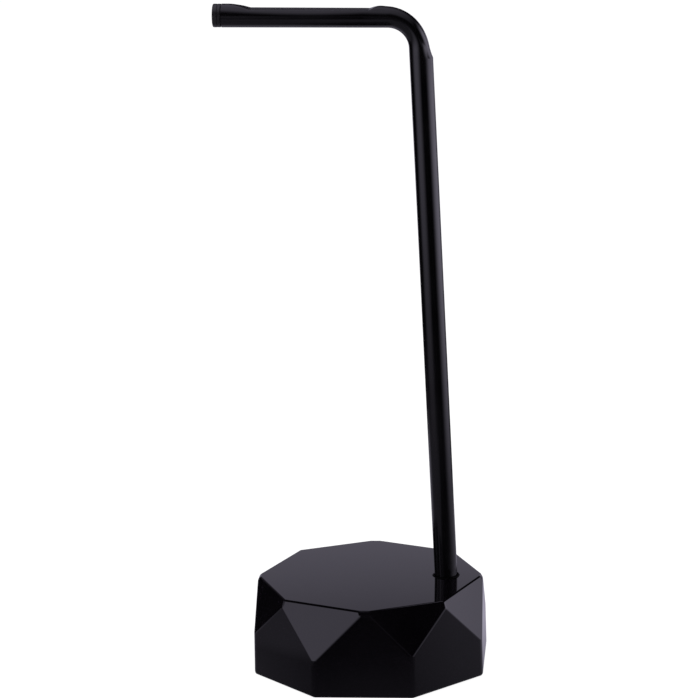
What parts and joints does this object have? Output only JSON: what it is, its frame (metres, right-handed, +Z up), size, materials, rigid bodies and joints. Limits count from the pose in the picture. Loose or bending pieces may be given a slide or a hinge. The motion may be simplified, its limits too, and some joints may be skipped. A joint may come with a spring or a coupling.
{
  "type": "headphone stand",
  "caption": "Desk stand for headphones: a faceted, ballasted base carries a leaning bent tube whose nearly level arm is pressed flat for the headband.",
  "frame": {"origin": "centre of the non-slip pad's underside, on the table", "axes": "+Z up, -X along the arm towards its capped end, +Y to the back; the pole bends in the XZ plane"},
  "size_m": [0.1116, 0.1, 0.2922],
  "materials": {
    "gloss_black": "high-gloss black lacquer",
    "black_paint": "satin-gloss black paint on steel tube",
    "cap_black": "fine moulded grain, black",
    "bush_black": "plain moulded black",
    "cover_black": "plain moulded black",
    "pad_rubber": "fine-grained black foam rubber",
    "cast_iron": "as cast",
    "zinc_steel": "bright zinc plate"
  },
  "bodies": {
    "root": {"base_shell": "gloss_black", "ballast_weight": "cast_iron", "base_cover": "cover_black", "non_slip_pad": "pad_rubber", "cover_screw_1": "zinc_steel", "cover_screw_2": "zinc_steel", "cover_screw_3": "zinc_steel", "cover_screw_4": "zinc_steel", "pole": "black_paint", "arm_end_cap": "cap_black", "pole_bush": "bush_black", "pole_insert": "zinc_steel", "flat_washer": "zinc_steel", "spring_washer": "zinc_steel", "pole_bolt": "zinc_steel"}
  },
  "joints": []
}
